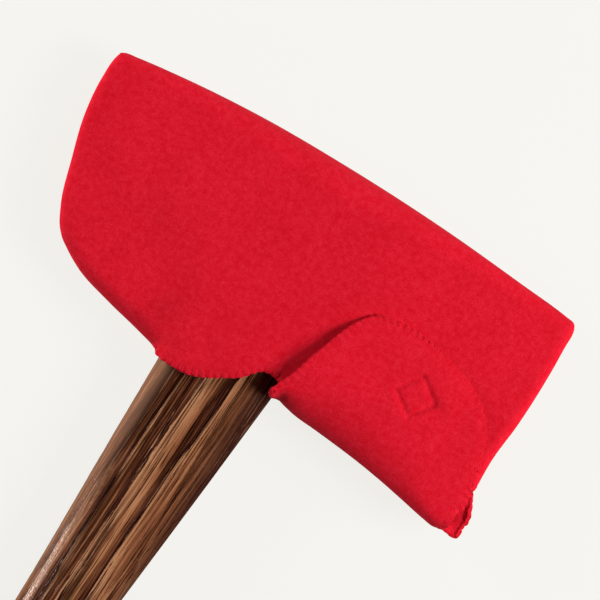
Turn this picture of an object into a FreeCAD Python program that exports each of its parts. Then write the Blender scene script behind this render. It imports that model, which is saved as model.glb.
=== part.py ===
import FreeCAD, Part
import math
import os

# Double-bit felling axe lying on its side in a felt pocket cover, in millimetres.
# Frame: the origin is the centre of the flat butt face of the handle, +Y runs along the
# handle towards the head, +X runs from bit to bit, +Z is up through the thickness.
# Outlines of the head and the cover are drawn about a reference line across the eye,
# HEAD_Y above the butt face.

# ---------------------------------------------------------------- driving dimensions
HEAD_Y = 900.0                 # reference line of the head, above the butt face
HANDLE_LENGTH = 914.0          # butt face to the sawn-off top, a 36 inch handle

EYE_LENGTH = 63.0              # oval eye, along X
EYE_WIDTH = 20.0               # oval eye, along Z
EYE_TOP = 4.0                  # top of the head at the eye
EYE_BOTTOM = -64.0             # underside of the eye, where the shoulder ends
EYE_FIT = 0.05                 # clearance of the tongue in the eye, each side

CHEEK_HALF = 15.0              # half thickness of the head at the eye
CHEEK_REACH = 60.0             # the rounded cheeks run out this far from the eye's middle
BIT_RADIUS = 132.0             # radius of both cutting edges
BIT_CENTRE = (-6.3, -12.2)     # centre of the right-hand cutting edge
BIT_THROAT = (28.0, 13.5)      # radius and half thickness where the taper starts
BIT_MIDDLE = (75.0, 8.9)       # radius and half thickness halfway down the taper
BIT_BEVEL = (118.0, 2.6)       # radius and half thickness where the bevel starts
BIT_EDGE_HALF = 0.15           # half thickness of the cutting edge

TOE = (124.0, 9.0)             # upper corner of the right bit
BIT_BELLY = (123.4, -37.0)     # middle of its cutting edge
HEEL = (107.0, -80.0)          # lower corner of the right bit

KERF_BOTTOM = -38.0            # saw kerf in the tongue
WEDGE_BOTTOM = -36.0
WEDGE_THIN = 1.2               # wooden wedge, thickness at its bottom
WEDGE_THICK = 6.4              # wooden wedge, thickness at the top of the handle
STEEL_WEDGE_LENGTH = 23.0
STEEL_WEDGE_DEPTH = 24.0
STEEL_WEDGE_THIN = 0.6
STEEL_WEDGE_THICK = 3.2
STEEL_WEDGE_TURN = 45.0        # degrees from the wooden wedge

FELT = 3.0                     # thickness of the felt
RIM = 4.0                      # width of the turned seam round the pocket
HEEL_WALL = 8.0                # width of the part of the pocket that gives at the left heel
SEAM_THREAD_FROM = 1.5         # the seam thread lies between these two distances
SEAM_THREAD_TO = 2.3           # from the outline
SEAM_THREAD_HALF = 0.5
EDGE_STITCH = 1.2              # width of the overlocked edge
STITCH_PROUD = 0.3             # thread standing off the felt

LOOP_PAD_TOP = 4.6             # heights over the pocket lining's inner face
HOOK_PAD_BOTTOM = 5.1
FLAP_INNER = 6.5
FLAP_OUTER = FLAP_INNER + FELT
PAD_CENTRE = (95.1, -54.5)
PAD_TURN = 56.7                # degrees from the bit-to-bit direction
HOOK_PAD_SIDE = 20.0
LOOP_PAD_SIDE = 23.0
BOX_STITCH_SIDE = 16.0
BOX_STITCH_WIDTH = 1.0

# The fold of the closing flap, a straight line at the inner face of the felt.
FOLD_LEFT = (37.0, -91.7)
FOLD_RIGHT = (147.0, -103.0)
FLAP_GAP = 0.3                 # between the flap and the fold that carries it
GUSSET_LEFT = 36.0
GUSSET_RIGHT = 155.0

# Half of the hollow of the pocket, as x and z: flat over the eye and thin at both bits.
POCKET_SECTION = [(-142, 1.6), (-120, 4.2), (-90, 7.7), (-55, 12.1), (-22, 15.8),
                  (22, 15.8), (55, 12.1), (90, 7.7), (120, 4.2), (162, 1.6)]
# How the pocket closes over the top of the head, as y and z, outside and inside.
TOP_OUTSIDE = [(-140, 0), (-140, 40), (5, 40), (6, 18.8), (14, 16.8), (22, 12.0),
               (27.5, 6.5), (31, 2.5), (31, 0)]
TOP_INSIDE = [(-140, 0), (-140, 40), (6, 40), (7.5, 15.8), (14.5, 13.0), (20, 8.6),
              (24.5, 3.0), (25.5, 0)]

# Handle sections, as y, width and thickness.
HANDLE_SECTIONS = [(0, 38, 28), (5, 43, 32.5), (18, 46, 35), (45, 41, 31), (95, 37, 27.5),
                   (200, 36.5, 26), (400, 38.5, 25.5), (560, 43, 25.5), (660, 48.7, 26),
                   (720, 55.4, 26.5), (786, 62.2, 27), (820, 65.4, 27.4), (829, 65.4, 26),
                   (836, 62.9, 19.9)]
SECTION_ROUNDNESS = 2.3        # exponent of the handle's oval, 2 is an ellipse
SECTION_POINTS = 24

STEEP = 60.0                   # half height of the columns that cut outlines


# ---------------------------------------------------------------- drawing helpers
def point(place, z=0.0):
    return FreeCAD.Vector(place[0], HEAD_Y + place[1], z)


def arc(start, middle, end):
    return Part.Arc(point(start), point(middle), point(end)).toShape()


def line(start, end):
    return Part.LineSegment(point(start), point(end)).toShape()


def column(face, bottom=-STEEP, top=STEEP):
    lowered = face.copy()
    lowered.translate(FreeCAD.Vector(0, 0, bottom))
    return lowered.extrude(FreeCAD.Vector(0, 0, top - bottom))


def outline(edges):
    return Part.Face(Part.Wire(edges))


def polygon(places):
    corners = [point(place) for place in places]
    return Part.Face(Part.makePolygon(corners + corners[:1]))


def inset(face, distance):
    return face.makeOffset2D(-distance)


def across(section):
    """A solid with the same XZ section all along the head and the cover."""
    corners = [FreeCAD.Vector(x, HEAD_Y - 140, z) for x, z in section]
    face = Part.Face(Part.makePolygon(corners + corners[:1]))
    return face.extrude(FreeCAD.Vector(0, 200, 0))


def along(section):
    """A solid with the same YZ section from bit to bit."""
    corners = [FreeCAD.Vector(-170, HEAD_Y + y, z) for y, z in section]
    face = Part.Face(Part.makePolygon(corners + corners[:1]))
    return face.extrude(FreeCAD.Vector(340, 0, 0))


def layer(low, high):
    """What lies between two heights over the pocket's front lining."""
    lower = [(x, z + low) for x, z in POCKET_SECTION]
    upper = [(x, z + high) for x, z in reversed(POCKET_SECTION)]
    return across(lower + upper)


def below(high):
    """What lies between the middle plane and a height over the front lining."""
    ends = [(POCKET_SECTION[-1][0], 0), (POCKET_SECTION[0][0], 0)]
    return across([(x, z + high) for x, z in POCKET_SECTION] + ends)


def to_back(shape):
    return shape.mirror(FreeCAD.Vector(0, 0, 0), FreeCAD.Vector(0, 0, 1))


def to_left(shape):
    return shape.mirror(FreeCAD.Vector(0, 0, 0), FreeCAD.Vector(1, 0, 0))


def fold_line(x, off=0.0):
    """The y of a line parallel to the fold, at a distance from it towards the head."""
    slope = (FOLD_RIGHT[1] - FOLD_LEFT[1]) / (FOLD_RIGHT[0] - FOLD_LEFT[0])
    return FOLD_LEFT[1] + slope * (x - FOLD_LEFT[0]) + off * math.hypot(1, slope)


def save(name, shape):
    solids = shape.Solids
    kept = solids[0] if len(solids) == 1 else Part.makeCompound(solids)
    kept.exportStep("parts/" + name + ".step")
    box = kept.BoundBox
    print("%-24s %d solid %9.0f mm3  x %7.1f %7.1f  y %7.1f %7.1f  z %6.1f %6.1f  %s" % (
        name, len(solids), kept.Volume, box.XMin, box.XMax, box.YMin, box.YMax,
        box.ZMin, box.ZMax, kept.isValid()))


# ---------------------------------------------------------------- the axe
def bit_lens():
    """The taper and bevel of the right bit, turned round the centre of its edge."""
    profile = [(0.0, BIT_THROAT[1]), BIT_THROAT, BIT_MIDDLE, BIT_BEVEL,
               (BIT_RADIUS, BIT_EDGE_HALF)]
    centre = point(BIT_CENTRE)

    def at(index, side):
        radius, height = profile[index]
        return centre + FreeCAD.Vector(radius, 0, side * height)

    edges = [Part.LineSegment(at(0, -1), at(0, 1)).toShape(),
             Part.LineSegment(at(0, 1), at(1, 1)).toShape(),
             Part.Arc(at(1, 1), at(2, 1), at(3, 1)).toShape(),
             Part.LineSegment(at(3, 1), at(4, 1)).toShape(),
             Part.LineSegment(at(4, 1), at(4, -1)).toShape(),
             Part.LineSegment(at(4, -1), at(3, -1)).toShape(),
             Part.Arc(at(3, -1), at(2, -1), at(1, -1)).toShape(),
             Part.LineSegment(at(1, -1), at(0, -1)).toShape()]
    return Part.Face(Part.Wire(edges)).revolve(centre, FreeCAD.Vector(0, 0, 1), 360)


def right_bit():
    middle_top = (0.0, EYE_TOP)
    middle_bottom = (0.0, EYE_BOTTOM + 4)
    throat = (40.0, EYE_BOTTOM + 5)
    face = outline([arc(middle_top, (62.0, EYE_TOP + 1.2), TOE),
                    arc(TOE, BIT_BELLY, HEEL),
                    arc(HEEL, (74.0, -63.0), throat),
                    line(throat, middle_bottom),
                    line(middle_bottom, middle_top)])
    return column(face).common(bit_lens())


def eye_block():
    """The cheeks: a drum round the eye, rounded from bit to bit."""
    reach = FreeCAD.Vector(CHEEK_REACH, HEAD_Y + EYE_BOTTOM, 0)
    front = FreeCAD.Vector(0, HEAD_Y + EYE_BOTTOM, CHEEK_HALF)
    left = FreeCAD.Vector(-reach.x, reach.y, 0)
    back = FreeCAD.Vector(0, reach.y, -CHEEK_HALF)
    rim = Part.Wire([Part.Arc(left, front, reach).toShape(),
                     Part.Arc(reach, back, left).toShape()])
    drum = Part.Face(rim).extrude(FreeCAD.Vector(0, EYE_TOP - EYE_BOTTOM, 0))
    lug = polygon([(-35, EYE_BOTTOM), (35, EYE_BOTTOM), (42, EYE_BOTTOM + 7), (42, EYE_TOP),
                   (-42, EYE_TOP), (-42, EYE_BOTTOM + 7)])
    return drum.common(column(lug))


def oval_column(length, width, bottom, top):
    """An elliptical column along the handle's line, between two heights of the head."""
    centre = FreeCAD.Vector(0, HEAD_Y + bottom, 0)
    long_end = centre + FreeCAD.Vector(length / 2, 0, 0)
    short_end = centre + FreeCAD.Vector(0, 0, width / 2)
    rim = Part.Wire([Part.Ellipse(long_end, short_end, centre).toShape()])
    return Part.Face(rim).extrude(FreeCAD.Vector(0, top - bottom, 0))


def axe_head():
    right = right_bit()
    body = right.fuse([to_left(right), eye_block()]).removeSplitter()
    return body.cut(oval_column(EYE_LENGTH, EYE_WIDTH, EYE_BOTTOM - 10, EYE_TOP + 10))


def oval(y, width, thickness):
    """A closed rounded-oval wire across the handle."""
    places = []
    for index in range(SECTION_POINTS):
        turn = 2 * math.pi * index / SECTION_POINTS
        reach = 2.0 / SECTION_ROUNDNESS
        x = math.copysign(abs(math.cos(turn)) ** reach, math.cos(turn)) * width / 2
        z = math.copysign(abs(math.sin(turn)) ** reach, math.sin(turn)) * thickness / 2
        places.append(FreeCAD.Vector(x, y, z))
    curve = Part.BSplineCurve()
    curve.interpolate(Points=places, PeriodicFlag=True)
    return Part.Wire([curve.toShape()])


def kerf(bottom):
    """The tapered slot that the wooden wedge opens in the tongue."""
    top = HANDLE_LENGTH - HEAD_Y
    return along([(bottom, -WEDGE_THIN / 2), (bottom, WEDGE_THIN / 2),
                  (top, WEDGE_THICK / 2), (top, -WEDGE_THICK / 2)])


def tongue():
    """The part of the handle in the eye, rooted a little way down in the shoulder."""
    return oval_column(EYE_LENGTH - 2 * EYE_FIT, EYE_WIDTH - 2 * EYE_FIT,
                       EYE_BOTTOM - 4, HANDLE_LENGTH - HEAD_Y)


def steel_wedge():
    top = HANDLE_LENGTH
    half = STEEL_WEDGE_LENGTH / 2
    thin = STEEL_WEDGE_THIN / 2
    thick = STEEL_WEDGE_THICK / 2
    corners = [FreeCAD.Vector(-half, top, -thick), FreeCAD.Vector(-half, top, thick),
               FreeCAD.Vector(-half, top - STEEL_WEDGE_DEPTH, thin),
               FreeCAD.Vector(-half, top - STEEL_WEDGE_DEPTH, -thin)]
    blade = Part.Face(Part.makePolygon(corners + corners[:1]))
    blade = blade.extrude(FreeCAD.Vector(STEEL_WEDGE_LENGTH, 0, 0))
    blade.rotate(FreeCAD.Vector(0, 0, 0), FreeCAD.Vector(0, 1, 0), STEEL_WEDGE_TURN)
    return blade


def wooden_wedge():
    return kerf(WEDGE_BOTTOM).common(tongue()).cut(steel_wedge())


def handle():
    haft = Part.makeLoft([oval(*section) for section in HANDLE_SECTIONS], True, False)
    return haft.fuse(tongue()).cut(kerf(KERF_BOTTOM)).cut(steel_wedge())


# ---------------------------------------------------------------- outlines of the cover
TOP_LEFT = (-140.4, 8.5)
TOP_RIGHT = (147.6, 21.0)
LEFT_HEEL = (-93.0, -98.2)
MOUTH_LEFT = (-37.0, -110.2)
MOUTH_RIGHT = (29.0, -88.4)
MOUTH_START = -33.0            # the pocket is sewn shut to the left of this
SEAM_END = (150.4, -76.0)      # lower end of the seam on the right-hand side


def seam_edges():
    """Top and right-hand sides of both panels, from the left corner to the seam's end."""
    return [arc(TOP_LEFT, (-139.2, 12.6), (-134.5, 15.0)),
            arc((-134.5, 15.0), (4.0, 29.4), (142.5, 26.0)),
            arc((142.5, 26.0), (146.2, 24.6), TOP_RIGHT),
            arc(TOP_RIGHT, (150.6, -28.0), SEAM_END)]


def left_edges():
    """The closed side round the left bit and its heel, from the mouth to the corner."""
    return [arc(MOUTH_LEFT, (-68.0, -104.6), LEFT_HEEL),
            arc(LEFT_HEEL, (-110.5, -88.0), (-121.0, -74.0)),
            arc((-121.0, -74.0), (-136.5, -30.0), TOP_LEFT)]


def mouth_edges(right_end):
    """The curved edge of a panel across the handle."""
    lowest = (-30.0, -112.6)
    crook = (13.0, -97.0)
    return [line(right_end, crook),
            arc(crook, (-6.0, -108.4), lowest),
            line(lowest, MOUTH_LEFT)]


def front_outline():
    corner = (150.0, fold_line(150.0, 4.7))
    return outline(seam_edges() + [line(SEAM_END, corner), line(corner, MOUTH_RIGHT)]
                   + mouth_edges(MOUTH_RIGHT) + left_edges())


def back_outline():
    flare = (157.5, -92.0)
    corner = (156.5, fold_line(156.5))
    fold_end = (GUSSET_LEFT - 3.0, fold_line(GUSSET_LEFT - 3.0))
    return outline(seam_edges() + [line(SEAM_END, flare), line(flare, corner),
                                   line(corner, fold_end)]
                   + mouth_edges(fold_end) + left_edges())


def flap_outline():
    tip = (31.5, fold_line(31.5, FLAP_GAP))
    corner = (147.5, fold_line(147.5, FLAP_GAP))
    shoulder = (50.6, -35.1)
    apex = (64.4, -26.6)
    side = (117.9, -33.9)
    flank = (148.4, -84.0)
    return outline([line(tip, corner), line(corner, flank),
                    arc(flank, (139.0, -52.5), side),
                    arc(side, (92.0, -27.3), apex),
                    arc(apex, (56.5, -29.5), shoulder),
                    arc(shoulder, (38.8, -61.5), tip)])


def mouth_region():
    """Where the pocket is open: across the handle and under the right bit."""
    return column(polygon([(MOUTH_START, -130), (MOUTH_START, -98), (0, -82), (170, -82),
                           (170, -130)]))


def heel_region():
    return column(polygon([(MOUTH_START, -130), (MOUTH_START, -60), (-90, 3), (-160, 3),
                           (-160, -130)]))


def square(side):
    """A square column over the fastening of the flap."""
    half = side / 2
    face = polygon([(-half, -half), (half, -half), (half, half), (-half, half)])
    face.rotate(point((0, 0)), FreeCAD.Vector(0, 0, 1), PAD_TURN)
    face.translate(FreeCAD.Vector(PAD_CENTRE[0], PAD_CENTRE[1], 0))
    return column(face)


# ---------------------------------------------------------------- the felt cover
def hollow():
    """Everything the pocket has room for, in front of its middle plane."""
    inner = column(inset(front_outline(), RIM)).fuse(mouth_region())
    return inner.common(below(0.0)).common(along(TOP_INSIDE))


def half_pocket(face):
    """One felt side of the pocket with its half of the rim, in front of the plane."""
    return column(face).common(below(FELT)).common(along(TOP_OUTSIDE)).cut(hollow())


def seam_thread():
    face = front_outline()
    ring = column(inset(face, SEAM_THREAD_FROM), -SEAM_THREAD_HALF, SEAM_THREAD_HALF)
    ring = ring.cut(column(inset(face, SEAM_THREAD_TO)))
    return ring.cut(mouth_region())


def heel_wall_region():
    face = front_outline()
    return column(face).cut(column(inset(face, HEEL_WALL))).common(heel_region())


def edge_band(face, keep):
    """The strip along an edge that its overlock stitches cover, where keep allows it."""
    return column(face).cut(column(inset(face, EDGE_STITCH))).common(keep)


def mouth_band_region():
    """The open edge of the front panel, up to the end of the right-hand seam."""
    return column(polygon([(MOUTH_START, -130), (MOUTH_START, -100), (0, -80), (165, -80),
                           (165, -130)]))


def back_band_region():
    """The open edge of the back panel, from the left heel to the fold of the flap."""
    end = GUSSET_LEFT - 6.0
    return column(polygon([(MOUTH_START, -130), (MOUTH_START, -100), (0, -80), (end, -80),
                           (end, -130)]))


def cover_front_panel():
    band = edge_band(front_outline(), mouth_band_region())
    felt = half_pocket(front_outline()).cut(band)
    return felt.cut(heel_wall_region()).cut(seam_thread())


def cover_back_panel():
    band = edge_band(back_outline(), back_band_region())
    felt = half_pocket(back_outline()).cut(band)
    return to_back(felt.cut(heel_wall_region()).cut(seam_thread()))


def left_heel_wall():
    half = half_pocket(front_outline()).common(heel_wall_region())
    return half.fuse(to_back(half)).removeSplitter().cut(seam_thread())


def mouth_edge_stitch():
    band = edge_band(front_outline(), mouth_band_region())
    return band.common(layer(-STITCH_PROUD, FELT + STITCH_PROUD))


def back_mouth_edge_stitch():
    band = edge_band(back_outline(), back_band_region())
    return to_back(band.common(layer(-STITCH_PROUD, FELT)))


def loop_pad():
    return square(LOOP_PAD_SIDE).common(layer(FELT, LOOP_PAD_TOP)).cut(loop_pad_stitch())


def box_ring():
    inner = square(BOX_STITCH_SIDE - 2 * BOX_STITCH_WIDTH)
    return square(BOX_STITCH_SIDE).cut(inner)


def loop_pad_stitch():
    return box_ring().common(layer(LOOP_PAD_TOP - 0.6, LOOP_PAD_TOP + 0.1))


def flap_gusset():
    """The felt that turns round the fold, from the back panel to the closing flap."""
    slab = column(polygon([(GUSSET_LEFT, fold_line(GUSSET_LEFT)),
                           (GUSSET_RIGHT, fold_line(GUSSET_RIGHT)),
                           (GUSSET_RIGHT, fold_line(GUSSET_RIGHT, -FELT)),
                           (GUSSET_LEFT, fold_line(GUSSET_LEFT, -FELT))]))
    front = slab.common(below(FLAP_OUTER))
    back = to_back(slab.common(below(FELT)))
    return front.fuse(back).removeSplitter()


def flap_band_region():
    low = 1.5
    return column(polygon([(0, fold_line(0, low)), (170, fold_line(170, low)),
                           (170, 20), (0, 20)]))


def closing_flap():
    face = flap_outline()
    felt = column(face).common(layer(FLAP_INNER, FLAP_OUTER))
    return felt.cut(edge_band(face, flap_band_region())).cut(hook_pad_stitch())


def flap_edge_stitch():
    band = edge_band(flap_outline(), flap_band_region())
    return band.common(layer(FLAP_INNER - STITCH_PROUD, FLAP_OUTER + STITCH_PROUD))


def hook_pad():
    return square(HOOK_PAD_SIDE).common(layer(HOOK_PAD_BOTTOM, FLAP_INNER))


def hook_pad_stitch():
    return box_ring().common(layer(FLAP_OUTER - 0.8, FLAP_OUTER + 0.2))


for maker in (axe_head, handle, wooden_wedge, steel_wedge,
              cover_front_panel, cover_back_panel, left_heel_wall, flap_gusset,
              seam_thread, mouth_edge_stitch, back_mouth_edge_stitch,
              loop_pad, loop_pad_stitch,
              closing_flap, flap_edge_stitch, hook_pad, hook_pad_stitch):
    save(maker.__name__, maker())
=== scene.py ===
import math

import bpy
import numpy as np
from mathutils import Matrix, Vector


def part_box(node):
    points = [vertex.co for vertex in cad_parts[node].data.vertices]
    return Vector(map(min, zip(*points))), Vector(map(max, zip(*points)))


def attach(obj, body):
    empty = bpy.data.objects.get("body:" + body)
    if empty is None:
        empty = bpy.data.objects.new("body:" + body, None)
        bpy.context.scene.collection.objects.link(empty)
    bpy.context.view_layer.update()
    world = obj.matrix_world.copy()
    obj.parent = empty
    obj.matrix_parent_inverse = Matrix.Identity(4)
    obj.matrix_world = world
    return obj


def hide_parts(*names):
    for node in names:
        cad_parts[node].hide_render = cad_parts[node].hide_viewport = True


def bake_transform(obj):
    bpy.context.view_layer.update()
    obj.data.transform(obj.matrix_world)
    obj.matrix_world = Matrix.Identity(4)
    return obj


# A double-bit felling axe whose head is sleeved in a red felt pocket cover. Places on the
# cover are written in millimetres about the head's reference line: x from bit to bit,
# y along the handle, z up. place() turns them into the frame's metres.

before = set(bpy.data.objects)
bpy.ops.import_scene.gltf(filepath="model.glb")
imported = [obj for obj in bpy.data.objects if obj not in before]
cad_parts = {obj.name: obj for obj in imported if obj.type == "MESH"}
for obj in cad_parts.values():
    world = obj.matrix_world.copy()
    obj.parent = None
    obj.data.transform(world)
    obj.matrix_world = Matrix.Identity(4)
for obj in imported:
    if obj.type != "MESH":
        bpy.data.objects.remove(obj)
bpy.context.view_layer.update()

MM = 0.001
HANDLE_ABOVE_LINE = 14.0       # the handle's sawn top above the head's reference line
HEAD_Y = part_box("handle")[1][1] / MM - HANDLE_ABOVE_LINE
FLOOR_Z = min(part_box(node)[0][2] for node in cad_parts) / MM
LOWEST_FELT = FLOOR_Z + 0.1

FELT = 3.0                     # thickness of the felt
SEAM_HALF_GAP = 0.2            # half of the groove between the two sewn panels
STITCH_PITCH = 4.0             # of the overlocked edges
SCALLOP = 0.65                 # how far the felt swells between two stitches
SCALLOP_REACH = 1.6            # how far in from the edge it swells
SCALLOP_MIDDLE = 0.6           # the share of a swell that lies inside the outline
PINCH = 0.8                    # how much thinner the stitches press the edge
PINCH_REACH = 2.8              # how far in from the edge they press it
ROUND_DOWN, ROUND_OUT = 0.14, 0.62       # where the rounded edge turns: its share down, and out
THREAD_RADIUS, SEAM_THREAD_RADIUS = 0.30, 0.25
RIM_SHARE = 0.95               # width of the turned rim as a share of the felt's height
LEAST_RIM = 6.0                # and the least width of it


# ---------------------------------------------------------------- curves and numbers
def slopes(t, values):
    """Slopes of a smooth curve through values at t, weighted for uneven steps."""
    step = np.diff(t)
    rise = np.diff(values, axis=0) / (step[:, None] if values.ndim > 1 else step)
    inner_weight = step[1:] / (step[1:] + step[:-1])
    if values.ndim > 1:
        inner_weight = inner_weight[:, None]
    inner = rise[:-1] * inner_weight + rise[1:] * (1 - inner_weight)
    return np.concatenate([rise[:1], inner, rise[-1:]])


def hermite(t, values, at):
    """The smooth curve through values at t, read at the places in at."""
    t, values, at = np.asarray(t, float), np.asarray(values, float), np.asarray(at, float)
    slope = slopes(t, values)
    i = np.clip(np.searchsorted(t, at, side="right") - 1, 0, len(t) - 2)
    step = t[i + 1] - t[i]
    u = np.clip((at - t[i]) / step, 0, 1)
    if values.ndim > 1:
        u, step = u[..., None], step[..., None]
    low, high = values[i], values[i + 1]
    return ((2 * u ** 3 - 3 * u ** 2 + 1) * low + (u ** 3 - 2 * u ** 2 + u) * step * slope[i]
            + (3 * u ** 2 - 2 * u ** 3) * high + (u ** 3 - u ** 2) * step * slope[i + 1])


def by_x(table, x):
    """A smooth height or place read from a short list of (x, value)."""
    table = np.asarray(table, float)
    return hermite(table[:, 0], table[:, 1], np.clip(x, table[0, 0], table[-1, 0]))


def smooth_step(low, high, value):
    t = np.clip((value - low) / (high - low), 0, 1)
    return t * t * (3 - 2 * t)


def runs_along(points):
    """The length of a line up to each of its points."""
    return np.concatenate([[0], np.cumsum(np.linalg.norm(np.diff(points, axis=0), axis=1))])


def along(points, shares):
    """Places on the smooth curve through a few points, at shares of its length."""
    points = np.asarray(points, float)
    chord = runs_along(points)
    fine = hermite(chord, points, np.linspace(0, chord[-1], 40 * len(points)))
    run = runs_along(fine)
    at = np.asarray(shares) * run[-1]
    return np.stack([np.interp(at, run, fine[:, k]) for k in range(fine.shape[1])], axis=1)


def crowded(count, crowding=0.5):
    """Shares from 0 to 1 that come closer together at both ends."""
    t = np.linspace(0, 1, count + 1)
    return t - crowding * np.sin(2 * np.pi * t) / (2 * np.pi)


def coons(bottom, top, left, right):
    """A grid of places spanned between four sides, rows from bottom to top."""
    u = np.linspace(0, 1, len(bottom))[None, :, None]
    v = np.linspace(0, 1, len(left))[:, None, None]
    ruled = (1 - v) * bottom[None] + v * top[None] + (1 - u) * left[:, None] + u * right[:, None]
    corners = ((1 - v) * ((1 - u) * bottom[0] + u * bottom[-1])
               + v * ((1 - u) * top[0] + u * top[-1]))
    return ruled - corners


def turned(x, y, degrees):
    """A place measured along axes that are turned by some degrees."""
    c, s = math.cos(math.radians(degrees)), math.sin(math.radians(degrees))
    return x * c + y * s, -x * s + y * c


def unit(vectors):
    return vectors / np.maximum(np.linalg.norm(vectors, axis=-1, keepdims=True), 1e-9)


def nearest_on(line, x, y):
    """For each place: its distance to a line in the XY plane, and the run and way there."""
    start, step = line[:-1, :2], np.diff(line[:, :2], axis=0)
    squared = np.maximum((step ** 2).sum(axis=1), 1e-9)
    runs = np.concatenate([[0], np.cumsum(np.sqrt(squared))])[:-1]
    flat_x, flat_y = np.ravel(x), np.ravel(y)
    away, run = np.empty(len(flat_x)), np.empty(len(flat_x))
    way = np.empty((len(flat_x), 2))
    for low in range(0, len(flat_x), 4000):
        part = slice(low, low + 4000)
        px = flat_x[part, None] - start[None, :, 0]
        py = flat_y[part, None] - start[None, :, 1]
        t = np.clip((px * step[None, :, 0] + py * step[None, :, 1]) / squared, 0, 1)
        gap = (px - t * step[None, :, 0]) ** 2 + (py - t * step[None, :, 1]) ** 2
        best = gap.argmin(axis=1)
        row = np.arange(len(best))
        away[part] = np.sqrt(gap[row, best])
        run[part] = runs[best] + t[row, best] * np.sqrt(squared[best])
        way[part] = step[best] / np.sqrt(squared[best])[:, None]
    shape = np.shape(x)
    return away.reshape(shape), run.reshape(shape), way.reshape(shape + (2,))


def distance_to(line, x, y):
    return nearest_on(line, x, y)[0]


def scallop(run):
    """Felt swells between one overlock stitch and the next, and is pinched at each."""
    return np.abs(np.cos(np.pi * run / STITCH_PITCH)) - SCALLOP_MIDDLE


def edge_pinch(line, x, y):
    """How far stitches press the felt down near an overlocked edge."""
    away, run, _ = nearest_on(line, x, y)
    depth = 0.55 - 0.3 * smooth_step(70.0, 110.0, x)         # less towards the right
    return (PINCH - depth * scallop(run)) * np.exp(-(away / PINCH_REACH) ** 2)


def scalloped(grid, line, outward):
    """A grid whose felt near an overlocked edge goes in and out with its stitches."""
    away, run, way = nearest_on(line, grid[..., 0], grid[..., 1])
    push = outward * SCALLOP * scallop(run) * np.exp(-(away / SCALLOP_REACH) ** 2)
    moved = grid.copy()
    moved[..., 0] += way[..., 1] * push
    moved[..., 1] -= way[..., 0] * push
    return moved


def place(points):
    return (np.asarray(points, float) + (0, HEAD_Y, 0)) * MM


# ---------------------------------------------------------------- meshes
def new_object(name, points, faces, material):
    mesh = bpy.data.meshes.new(name)
    mesh.from_pydata(place(points).tolist(), [], faces)
    mesh.polygons.foreach_set("use_smooth", [True] * len(mesh.polygons))
    mesh.materials.append(material)
    mesh.update()
    piece = bpy.data.objects.new(name, mesh)
    bpy.context.collection.objects.link(piece)
    return piece


def evened(grid):
    """Each value averaged with its neighbours in both directions."""
    for axis in (0, 1):
        width = [(1, 1) if k == axis else (0, 0) for k in range(3)]
        padded = np.pad(grid, width, mode="edge")
        low, high = ((padded[:-2], padded[2:]) if axis == 0
                     else (padded[:, :-2], padded[:, 2:]))
        grid = (low + grid + high) / 3
    return grid


def grid_normals(grid):
    """Unit normals, evened so that narrow cells in a grid's corner follow their neighbours."""
    normal = np.cross(np.gradient(grid, axis=1), np.gradient(grid, axis=0))
    for _ in range(3):
        normal = evened(normal)
    return unit(normal)


def border(rows, columns):
    """The indices of a grid's edge, once round, as (row, column)."""
    bottom = [(0, c) for c in range(columns)]
    right = [(r, columns - 1) for r in range(1, rows)]
    top = [(rows - 1, c) for c in range(columns - 2, -1, -1)]
    left = [(r, 0) for r in range(rows - 2, 0, -1)]
    return bottom + right + top + left


def thick_sheet(name, grid, material, side=1.0, thickness=FELT, swell=0.8, inner=None):
    """A closed piece of felt: the grid is its outer face, and it has rounded edges.

    swell is how far the edges stand out, one number or one for each grid point.
    """
    rows, columns = grid.shape[:2]
    normal = grid_normals(grid) * side
    if inner is None:
        inner = grid - normal * thickness
    rim = border(rows, columns)
    at = tuple(np.array(rim).T)
    out, inn = grid[at], inner[at]
    run = np.roll(out, -1, axis=0) - np.roll(out, 1, axis=0)
    away = unit(np.cross(run, normal[at])) * side
    away *= np.broadcast_to(swell, (rows, columns))[at][:, None]
    middle = (out + inn) / 2 + away
    upper = out * (1 - ROUND_DOWN) + inn * ROUND_DOWN + away * ROUND_OUT
    lower = out * ROUND_DOWN + inn * (1 - ROUND_DOWN) + away * ROUND_OUT
    points = np.concatenate([grid.reshape(-1, 3), inner.reshape(-1, 3), upper, middle, lower])
    count = rows * columns
    faces = []
    for r in range(rows - 1):
        for c in range(columns - 1):
            first = r * columns + c
            face = (first, first + 1, first + columns + 1, first + columns)
            under = tuple(count + i for i in reversed(face))
            faces.extend([face, under] if side > 0 else [face[::-1], under[::-1]])
    ring = len(rim)
    loops = [[r * columns + c for r, c in rim]]
    loops += [[2 * count + k * ring + i for i in range(ring)] for k in range(3)]
    loops.append([count + r * columns + c for r, c in rim])
    for first, second in zip(loops, loops[1:]):
        for i in range(ring):
            j = (i + 1) % ring
            face = (first[j], first[i], second[i], second[j])
            faces.append(face if side > 0 else face[::-1])
    return new_object(name, points, faces, material)


def butt_together(piece, rows, columns, first, last):
    """Keep shading flat up to where the first grid row goes on in another piece's felt."""
    ends = {c + face * rows * columns for c in range(first, last + 1) for face in (0, 1)}
    for edge in piece.data.edges:
        if edge.vertices[0] in ends and edge.vertices[1] in ends:
            edge.use_edge_sharp = True


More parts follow.
